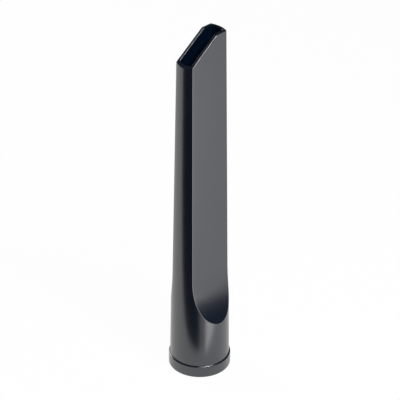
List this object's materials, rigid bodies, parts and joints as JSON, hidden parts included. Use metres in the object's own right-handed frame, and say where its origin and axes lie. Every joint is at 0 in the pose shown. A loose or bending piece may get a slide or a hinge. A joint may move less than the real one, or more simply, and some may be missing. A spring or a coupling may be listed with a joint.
{
  "type": "vacuum crevice tool",
  "caption": "Slim one-piece suction nozzle: a round socket end with a low collar, a tapering stem flattened on both sides by long scoops, and a slanted open mouth.",
  "frame": {"origin": "centre of the socket's open end face, which the tool stands on", "axes": "+Z along the tool from the socket to the mouth; X along the wide way of the flattened stem, with the long tip at +X; Y through its thickness"},
  "size_m": [0.038, 0.038, 0.226],
  "materials": {
    "moulded_plastic": "satin moulded near-black plastic with a faint blue cast"
  },
  "bodies": {
    "root": {"crevice_tool": "moulded_plastic"}
  },
  "joints": []
}
